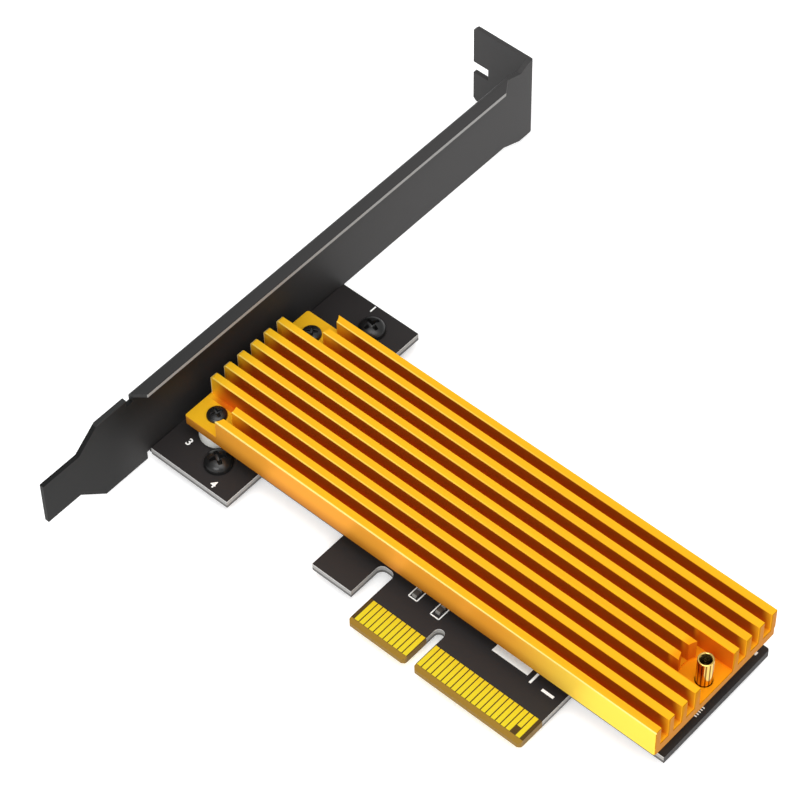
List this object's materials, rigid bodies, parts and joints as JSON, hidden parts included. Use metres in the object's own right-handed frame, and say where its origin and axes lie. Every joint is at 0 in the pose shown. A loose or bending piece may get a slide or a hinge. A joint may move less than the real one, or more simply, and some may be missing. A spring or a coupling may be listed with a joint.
{
  "type": "nvme adapter card",
  "caption": "Expansion card that carries a flat solid-state drive below a finned gold heatsink, with an edge connector and a folded bracket.",
  "frame": {"origin": "inner face of the bracket (X = 0), outer line of the contact edge (Y = 0), component side of the circuit board (Z = 0)", "axes": "+X along the card away from the bracket, +Y from the contact edge towards the bent screw tab, +Z out of the component side"},
  "size_m": [0.1138, 0.12, 0.0195],
  "materials": {
    "bracket_black": "satin black coat",
    "screw_black": "black oxide",
    "board_black": "matte black mask",
    "contact_gold": "gold plating",
    "gold_anodised": "gold anodised",
    "brass": "turned",
    "white_nylon": "smooth",
    "ceramic": "fired",
    "tinned": "tinned",
    "socket_plastic": "moulded",
    "pad_grey": "soft silicone"
  },
  "bodies": {
    "root": {"bracket": "bracket_black", "bracket_screws": "screw_black", "circuit_board": "board_black", "component_side_contacts": "contact_gold", "drive_seat": "brass", "filter_capacitor_1": "ceramic", "filter_capacitor_2": "ceramic", "heatsink": "gold_anodised", "heatsink_nuts": "screw_black", "heatsink_screws": "screw_black", "heatsink_spacer_1": "white_nylon", "heatsink_spacer_2": "white_nylon", "post_screw": "screw_black", "retaining_post": "brass", "signal_part_1": "ceramic", "signal_part_2": "ceramic", "socket_hold_down_1": "tinned", "socket_hold_down_2": "tinned", "socket_housing": "socket_plastic", "socket_lower_contacts": "contact_gold", "socket_upper_contacts": "contact_gold", "solder_side_contacts": "contact_gold", "thermal_pad": "pad_grey"}
  },
  "joints": []
}
